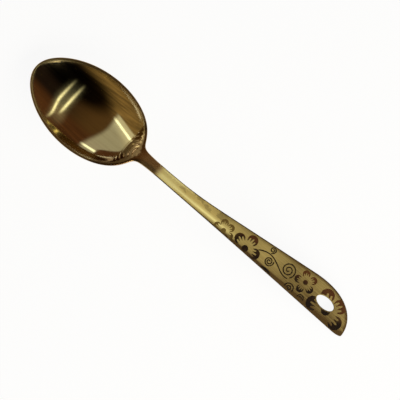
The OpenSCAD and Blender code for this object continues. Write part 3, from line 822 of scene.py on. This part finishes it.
bowl_brass = brass("bowl_brass", clean=(0.84, 0.69, 0.35, 1), tarnish_and_shade=(0.42, 0.27, 0.10, 1),
                   smear=0.35, scratch=0.30, relief=0.05)
handle_brass = brass("handle_brass", clean=(0.82, 0.65, 0.24, 1), tarnish_and_shade=(0.07, 0.04, 0.012, 1),
                     smear=0.4, scratch=0.12, relief=0.3)

# %% [markdown]
# ## Enamel
# The fills are dark brown, nearly black toward the straight edge. The flowers toward the flared edge get a painted
# reddish reflection, and the first flower is painted lighter, golden brown, as a painted sheen.

# %% Enamel
DARK_GLAZE, REFLECTION_RED_GLAZE, GLARE_GLAZE = (0.009, 0.005, 0.003, 1), (0.075, 0.027, 0.008, 1), (0.13, 0.085, 0.022, 1)
REFLECTION_RED_SIDE, GLARE_END = (-0.1, 0.6), (34, 30)
GLAZE_ROUGH, PEEL_DEPTH = (0.25, 0.4), 0.02

enamel = bpy.data.materials.new("enamel")
tree = node_tree(enamel)
drift = stretched_noise(tree, (0.2, 0.2, 0.2))
# Painted reddish reflection on the flowers, stronger toward the flared edge.
red_reflection = times(kept_mark(tree, "petal", (0, 1)),
            weighted(-0.2, (0.8, kept_mark(tree, "side", REFLECTION_RED_SIDE)), (0.5, drift)))
# Painted sheen: the first flower is made lighter, golden brown.
glare = weighted(-0.25, (0.8, along_spoon(tree, GLARE_END)), (0.5, drift))
tone = between(glare, between(red_reflection, DARK_GLAZE, REFLECTION_RED_GLAZE), GLARE_GLAZE)
peel = stretched_noise(tree, (1.2, 1.2, 1.2))
ripple = add_node(tree, "Bump", in_Strength=0.15, in_Distance=PEEL_DEPTH*MM, in_Height=peel)
gloss = add_node(tree, "MapRange", in_0=peel, in_3=GLAZE_ROUGH[0], in_4=GLAZE_ROUGH[1])
glass = add_node(tree, "BsdfPrincipled", in_Base_Color=tone, in_Roughness=gloss.outputs[0],
                 in_Specular_IOR_Level=0.1, in_Normal=ripple.outputs[0])
add_node(tree, "OutputMaterial", in_Surface=glass.outputs[0])
print("enamel", len(tree.nodes), "nodes")

# %% [markdown]
# ## The bowl
# The bowl is drawn from sheet, so its inside and outside are two skins with a rounded rim between them. Rings follow
# the rim inward and close on the bowl's axis, which gives even four-sided faces and a clean mirror.

# %% Bowl rings
BOWL_INSETS = (0.75, 1.1, 1.5, 2.0, 2.6)
BOWL_RINGS = 36
AXIS_START = 15.0


def bowl_plan():
    """Outline of the bowl from the joint round the tip and back, and the rings inside it."""
    one_side = even_places(right, joint_at, 0)
    s = np.concatenate([one_side, one_side[-2::-1]])
    tip = len(one_side) - 1
    y = np.concatenate([right(one_side), left(one_side[-2::-1])])
    y[tip] = 0
    ring = np.stack([s, y], 1)
    inward = outward(ring)
    inward[[0, -1], 0] = 0
    rings = [ring - inward*d for d in BOWL_INSETS]
    inner = rings[-1]
    axis = AXIS_START + (inner[:, 0] - inner[tip, 0])*(joint_at - AXIS_START)/(joint_at - inner[tip, 0])
    target = np.stack([axis, np.zeros(len(axis))], 1)
    for k in range(1, BOWL_RINGS + 1):
        rings.append(mix(inner, target, k/BOWL_RINGS))
    return ring, inward, rings, tip


def make_bowl():
    ring, inward, rings, tip = bowl_plan()
    count = len(ring)
    rows = []
    for height, sign in ((face_height, 1), (under_height, -1)):
        inside = [skin(plan, height) for plan in rings[::-1]]
        side = [(points, sign*normals) for points, normals in inside]
        side += rounded_edge(ring, inward, height, sign)
        rows.append(side)
    # from the inside's axis out over the rim and back to the outside's axis
    rows = rows[0] + rows[1][::-1]
    points = np.concatenate([p for p, n in rows])
    normals = np.concatenate([n for p, n in rows])
    index = np.arange(len(points)).reshape(len(rows), count)
    for axis_row in (0, -1):
        index[axis_row, tip + 1:] = index[axis_row, tip - 1::-1]
    faces = []
    for a, b in zip(index[:-1], index[1:]):
        for j in range(count - 1):
            corners = (a[j], b[j], b[j + 1], a[j + 1])
            faces.append(tuple(dict.fromkeys(corners)))
    end = list(index[:, -1]) + list(index[::-1, 0])
    faces.append(tuple(dict.fromkeys(end)))
    return points, normals, faces


points, normals, faces = make_bowl()
bowl = make_piece("bowl_skin", points, faces, normals, bowl_brass, "bowl", flat=[len(faces) - 1])
print("bowl:", len(bowl.data.vertices), "points", len(bowl.data.polygons), "faces")

# %% [markdown]
# ## The ornament as closed curves
# Each motif is drawn flat, as a closed curve seen from above: an oval petal with three light fingers cut into it, a
# round eye, or a ribbon along a spiral. Places are given by the distance back from the handle's tip and to the side.

# %% Motif curves
LAND, LINE_WIDTH, SCROLL_EYE, PETAL_OVAL = 0.25, 0.66, 0.4, 0.95
FLOWER_SIZES = "back", "side", "spread", "petal", "eye", "turn", "step", "count"
FLOWERS = {k: dict(zip(FLOWER_SIZES, sizes)) for k, sizes in enumerate((
    (86.0, -1.6, 4.4, 2.1, 1.4, -3, 61.5, 4),
    (71.0, -1.1, 6.1, 3.05, 1.85, 11, 73, 3),
    (33.9, 7.1, 4.6, 2.15, 1.4, -21, 72, 5),
    (15.4, 2.8, 8.4, 4.0, 2.55, -12, 67.5, 4)), 1)}


def at(back, side):
    return np.array([TOTAL - back, side])


def heading(angle):
    return np.array([math.cos(math.radians(angle)), math.sin(math.radians(angle))])


def arc(middle, rx, ry, start, sweep, count):
    turn = np.radians(start + sweep*np.linspace(0, 1, count))
    return middle + np.stack([rx*np.cos(turn), ry*np.sin(turn)], 1)


def oval(middle, rx, ry, count=48):
    return arc(middle, rx, ry, 0, 360, count + 1)[:-1]


def turned(curve, angle, middle):
    x_way, y_way = heading(angle), heading(angle + 90)
    return middle + curve[:, :1]*x_way + curve[:, 1:]*y_way


def finger(r, side):
    """Light finger that reaches into a petal: a wedge with round ends, wide toward the flower's eye."""
    tip = np.array([0.2*r - 0.28*r*abs(side), 0.55*r*side])
    foot = np.array([-1.05*r, 0.33*r*side])
    lie = math.degrees(math.atan2(*(tip - foot)[::-1]))
    return np.concatenate([arc(tip, 0.12*r, 0.12*r, lie - 90, 180, 10), arc(foot, 0.27*r, 0.27*r, lie + 90, 180, 8)])


def ribbon(path, width):
    """Band along a path."""
    turn = np.gradient(path, axis=0)
    side = np.stack([-turn[:, 1], turn[:, 0]], 1)/np.linalg.norm(turn, axis=1, keepdims=True)
    half = side*width/2
    return np.concatenate([path + half, (path - half)[::-1]])


def coil(middle, r0, r1, start, sweep, count):
    share = np.linspace(0, 1, count)
    turn = np.radians(start + sweep*share)
    return middle + mix(r0, r1, share)[:, None]*np.stack([np.cos(turn), np.sin(turn)], 1)


def bend(a, b, c, d, count=40):
    t = np.linspace(0, 1, count)[:, None]
    return (1 - t)**3*a + 3*(1 - t)**2*t*b + 3*(1 - t)*t*t*c + t**3*d


print("petals:", sum(flower["count"] for flower in FLOWERS.values()))

# %% [markdown]
# ## The list of fills
# A fill is its own curve less other curves: the fingers, the ground that a neighbour keeps free, or the hanging hole.

# %% Flowers
HOLE_BACK, HOLE_SIDE, HOLE_LENGTH, HOLE_WIDTH = 18.4, 5.9, 11.6, 6.2
HOLE_ROUND, HOLE_POINTS, GROUND_POINTS = 0.3, 64, 28


def hole_oval(grow):
    return oval(at(HOLE_BACK, HOLE_SIDE), HOLE_LENGTH/2 + grow, HOLE_WIDTH/2 + grow, HOLE_POINTS)


def petal_middles(flower):
    turns = [flower["turn"] + flower["step"]*i for i in range(flower["count"])]
    return [(turn, at(flower["back"], flower["side"]) + flower["spread"]*heading(turn)) for turn in turns]


def ground(flower):
    """Curves round a flower that its neighbours keep clear of."""
    grown = flower["petal"] + LAND
    eye = flower["eye"] + LAND
    return [oval(middle, grown, grown, GROUND_POINTS) for _, middle in petal_middles(flower)] + [
        oval(at(flower["back"], flower["side"]), eye, eye, GROUND_POINTS)]


fills = []
grounds = {k: ground(flower) for k, flower in FLOWERS.items()}
kept_clear = {1: grounds[2], 2: [], 3: grounds[4], 4: []}
hole_clear = [hole_oval(LAND + HOLE_ROUND)]
for k, flower in FLOWERS.items():
    for i, (turn, middle) in enumerate(petal_middles(flower)):
        r = flower["petal"]
        petal = turned(oval(np.zeros(2), PETAL_OVAL*r, r), turn, middle)
        fingers = [turned(finger(r, side), turn, middle) for side in (-1, 0, 1)]
        fills.append((f"flower_{k}_petal_{i + 1}", petal, fingers + kept_clear[k] + hole_clear))
    eye = oval(at(flower["back"], flower["side"]), flower["eye"], flower["eye"])
    fills.append((f"flower_{k}_eye", eye, hole_clear))
print("fills of the flowers:", len(fills))

# %% [markdown]
# ## Vine and scrolls
# The rest are ribbons: a vine with a curl, scrolls round it, and an arch and two scrolls at the straight edge. They
# keep clear of the flowers.

# %% Vine and scrolls
vine_from, vine_to = at(66.2, 2.3), at(42.9, 1.9)
vine_run = (vine_to - vine_from)[0]
vine_path = bend(vine_from, vine_from + (0.46*vine_run, 8.9), vine_to - (0.29*vine_run, 2.3), vine_to)
vine_clear = [ribbon(vine_path, LINE_WIDTH + 2*LAND)]

CURL_BACK, CURL_INSET, CURL_RADIUS = 58.6, 2.6, 1.7
curl_middle = at(CURL_BACK, float(right(TOTAL - CURL_BACK)) - CURL_INSET)
curl_side = curl_middle + (CURL_RADIUS, 0)
curl_foot = curl_middle - (0.5*CURL_RADIUS, 1.6*CURL_RADIUS)
curl_lead = bend(curl_foot, curl_foot + (0.7*CURL_RADIUS, 0.3*CURL_RADIUS),
                 curl_side - (0, 0.7*CURL_RADIUS), curl_side, 16)
curl_path = np.concatenate([curl_lead, coil(curl_middle, CURL_RADIUS, SCROLL_EYE, 0, 500, 60)[1:]])

ARCH_RADIUS, ARCH_WIDTH, ARCH_RISE = 6.4, 1.4, 1.2
arch_path = coil(at(55, ARCH_RISE - spine_offset - ARCH_RADIUS), ARCH_RADIUS, ARCH_RADIUS, 50, 80, 30)
for name, path, width, cuts in (
        ("vine_stem", vine_path, LINE_WIDTH, grounds[2] + grounds[3]),
        ("vine_curl", curl_path, LINE_WIDTH, vine_clear),
        ("small_scroll", coil(at(56.5, 2.4), 2.7, SCROLL_EYE, 35, -740, 90), LINE_WIDTH, vine_clear),
        ("large_scroll", coil(at(45.3, 5.9), 4.3, SCROLL_EYE, -44, 760, 120), LINE_WIDTH, vine_clear + grounds[3]),
        ("edge_arch", arch_path, ARCH_WIDTH, grounds[2])):
    fills.append((name, ribbon(path, width), cuts))

EDGE_SCROLL_INSET, ARC_SWEEP, ARC_CLOSE = 2.0, 205, 0.86
for name, back, r, close, sweep in (
        ("edge_scroll_1_outer", 38.9, 2.8, ARC_CLOSE*2.8, ARC_SWEEP),
        ("edge_scroll_1_inner", 38.9, 1.5, SCROLL_EYE, 400),
        ("edge_scroll_2_outer", 30.6, 1.95, ARC_CLOSE*1.95, ARC_SWEEP),
        ("edge_scroll_2_inner", 30.6, 0.8, ARC_CLOSE*0.8, ARC_SWEEP)):
    path = coil(at(back, EDGE_SCROLL_INSET - spine_offset), r, close, 90 + ARC_SWEEP/2, -sweep, 60)
    fills.append((name, ribbon(path, LINE_WIDTH), grounds[3] + grounds[4]))
print("fills:", len(fills))

# %% [markdown]
# ## Cutting the handle's face
# The face is treated like a sheet of metal that is sawn along every curve at once: one triangulation takes all the
# curves as its edges. Afterwards each triangle is asked which fill it lies in. What lies in none stays brass.

# %% Sawn sheet
FACE_STEP, FACE_LOW, FACE_HIGH = 0.9, -4, 17
KEEP_OFF, SAW_WIDTH, JOINT_POINTS = 0.45, 1e-5, 12


def inside(curve, places):
    """Which places lie inside a closed curve, by counting crossings."""
    x, y = places[:, :1], places[:, 1:]
    x0, y0 = curve[:, 0], curve[:, 1]
    x1, y1 = np.roll(x0, -1), np.roll(y0, -1)
    spans = (y0 > y) != (y1 > y)
    rise_y = np.where(y1 == y0, 1.0, y1 - y0)
    return (spans & (x < x0 + (y - y0)*(x1 - x0)/rise_y)).sum(1) % 2 == 1


def saw(border, curves):
    """Triangles inside a border, with all curves as edges: places, triangles, and where each drawn place went."""
    corners, edges = [], []
    for curve in [border, *curves]:
        first = len(corners)
        corners += [Vector(p) for p in curve]
        edges += [(first + i, first + (i + 1) % len(curve)) for i in range(len(curve))]
    drawn = np.array(corners)
    steps = np.arange(joint_at, TOTAL, FACE_STEP), np.arange(FACE_LOW, FACE_HIGH, FACE_STEP)
    grid = np.stack(np.meshgrid(*steps), -1).reshape(-1, 2)
    grid = grid[inside(border, grid)]
    near = np.array([np.hypot(*(drawn - p).T).min() for p in grid])
    corners += [Vector(p) for p in grid[near > KEEP_OFF*FACE_STEP]]
    places, _, triangles, origin, _, _ = delaunay_2d_cdt(corners, edges, [], 0, SAW_WIDTH)
    places = np.array(places)
    triangles = np.array(triangles)
    middle = places[triangles].mean(1)
    triangles = triangles[inside(border, middle) & ~inside(hole_oval(HOLE_ROUND), middle)]
    a, b, c = (places[triangles[:, k]] for k in range(3))
    turn = (b - a)[:, 0]*(c - a)[:, 1] - (b - a)[:, 1]*(c - a)[:, 0]
    triangles[turn < 0] = triangles[turn < 0][:, ::-1]
    came_from = {i: k for k, sources in enumerate(origin) for i in sources}
    return places, triangles[np.abs(turn) > TINY], came_from


straight = even_places(left, joint_at, TOTAL)
flared = even_places(right, TOTAL, joint_at)
handle_ring = np.concatenate([np.stack([straight, left(straight)], 1), np.stack([flared, right(flared)], 1)[1:]])
handle_inward = outward(handle_ring, smooth=4)
handle_inward[[0, -1], 0] = 0
broken = edge_radius(handle_ring[:, 0])[:, None]
face_ring = handle_ring - handle_inward*broken
land_ring = handle_ring - handle_inward*(broken + LAND)
joint_line = np.linspace(face_ring[-1], face_ring[0], JOINT_POINTS)[1:-1]
border = np.concatenate([face_ring, joint_line])
curves = [hole_oval(HOLE_ROUND), land_ring] + [c for _, curve, cuts in fills for c in [curve, *cuts]]
unique = list({c.tobytes(): c for c in curves}.values())
places, triangles, came_from = saw(border, unique)

middles = places[triangles].mean(1)
on_land = inside(np.concatenate([land_ring, joint_line]), middles)
owner = np.full(len(triangles), -1)
for k, (_, curve, cuts) in enumerate(fills):
    mine = inside(curve, middles) & on_land
    for cut in cuts:
        mine &= ~inside(cut, middles)
    owner[mine] = k
print("sheet:", len(places), "places", len(triangles), "triangles", (owner >= 0).sum(), "of them in fills")

# %% [markdown]
# ## The handle
# Face and underside are two skins over the same sheet, and a rounded edge runs round the outline and the hole. Where
# a fill lies, the face drops into a recess with upright walls.

# %% Handle
FILL_DEPTH = 0.25
FLUSH = 0.008


def rim_edges(chosen):
    """Directed edges round a set of triangles."""
    edges = {(t[i], t[(i + 1) % 3]) for t in chosen.tolist() for i in range(3)}
    return [(a, b) for a, b in edges if (b, a) not in edges]


def outward_loop(loop):
    turn = np.roll(loop, -1, 0) - np.roll(loop, 1, 0)
    normal = np.stack([turn[:, 1], -turn[:, 0]], 1)
    return normal/np.linalg.norm(normal, axis=1, keepdims=True)


def hole_edge(height, sign):
    return rolled(hole_oval, HOLE_ROUND, -outward_loop(hole_oval(0)), height, sign)


face_points, face_normals = skin(places, face_height)
under_points, under_normals = skin(places, under_height)
down = np.array([0, 0, MM])


def make_handle():
    points = [face_points, under_points, face_points - FILL_DEPTH*down]
    normals = [face_normals, -under_normals, face_normals]
    count = len(places)
    under, floor_level, new = count, 2*count, 3*count
    faces = triangles[owner < 0].tolist() + (triangles[:, ::-1] + under).tolist()
    sunk = triangles[owner >= 0]
    smooth_count = len(faces)
    faces += (sunk + floor_level).tolist()
    faces += [(a, b, b + floor_level, a + floor_level) for a, b in rim_edges(sunk)]
    flat = list(range(smooth_count, len(faces)))

    def rows_between(top_indices, upper, lower, closed, inward_facing):
        nonlocal new
        chain = [top_indices]
        for ring_points, ring_normals in upper[1:] + lower[:0:-1]:
            points.append(ring_points)
            normals.append(ring_normals)
            chain.append(np.arange(new, new + len(ring_points)))
            new += len(ring_points)
        chain.append(top_indices + under)
        for a, b in zip(chain[:-1], chain[1:]):
            for j in range(len(a) if closed else len(a) - 1):
                k = (j + 1) % len(a)
                faces.append((a[j], a[k], b[k], b[j]) if inward_facing else (a[j], b[j], b[k], a[k]))
        return chain

    ring_top = np.array([came_from[i] for i in range(len(face_ring))])
    chain = rows_between(ring_top, rounded_edge(handle_ring, handle_inward, face_height, 1),
                         rounded_edge(handle_ring, handle_inward, under_height, -1), False, False)
    hole_first = len(border)
    hole_top = np.array([came_from[hole_first + i] for i in range(HOLE_POINTS)])
    rows_between(hole_top, hole_edge(face_height, 1), hole_edge(under_height, -1), True, True)
    line = [came_from[len(face_ring) + i] for i in range(len(joint_line))]
    cap = [row[-1] for row in chain] + [i + under for i in line] + [row[0] for row in chain[::-1]] + line[::-1]
    flat.append(len(faces))
    faces.append(tuple(dict.fromkeys(cap)))
    return np.concatenate(points), np.concatenate(normals), faces, flat


def packed(points, normals, faces):
    """Drops points that no face uses."""
    used = np.unique(np.concatenate([np.asarray(f) for f in faces]))
    where = np.zeros(len(points), int)
    where[used] = np.arange(len(used))
    return points[used], normals[used], [tuple(where[list(f)]) for f in faces]


points, normals, faces, flat = make_handle()
points, normals, faces = packed(points, normals, faces)
handle = make_piece("handle_skin", points, faces, normals, handle_brass, "handle", flat)
print("handle:", len(handle.data.vertices), "points", len(handle.data.polygons), "faces")

# %% [markdown]
# ## The enamel fills
# A fill is poured into its recess and ground flush with the face, so each one takes its own triangles of the sheet as
# its face, the same places at the recess's depth as its bottom, and upright walls between them.

# %% Fill pieces
for k, (name, _, _) in enumerate(fills):
    mine = triangles[owner == k]
    count = len(places)
    points = np.concatenate([face_points - FLUSH*down, face_points - FILL_DEPTH*down])
    normals = np.concatenate([face_normals, -face_normals])
    faces = mine.tolist() + (mine[:, ::-1] + count).tolist()
    walls = [(a, a + count, b + count, b) for a, b in rim_edges(mine)]
    flat = range(len(faces), len(faces) + len(walls))
    points, normals, faces = packed(points, normals, faces + walls)
    make_piece(f"{name}_enamel", points, faces, normals, enamel, name, flat, float("flower" in name))
print("fill pieces:", len(fills))
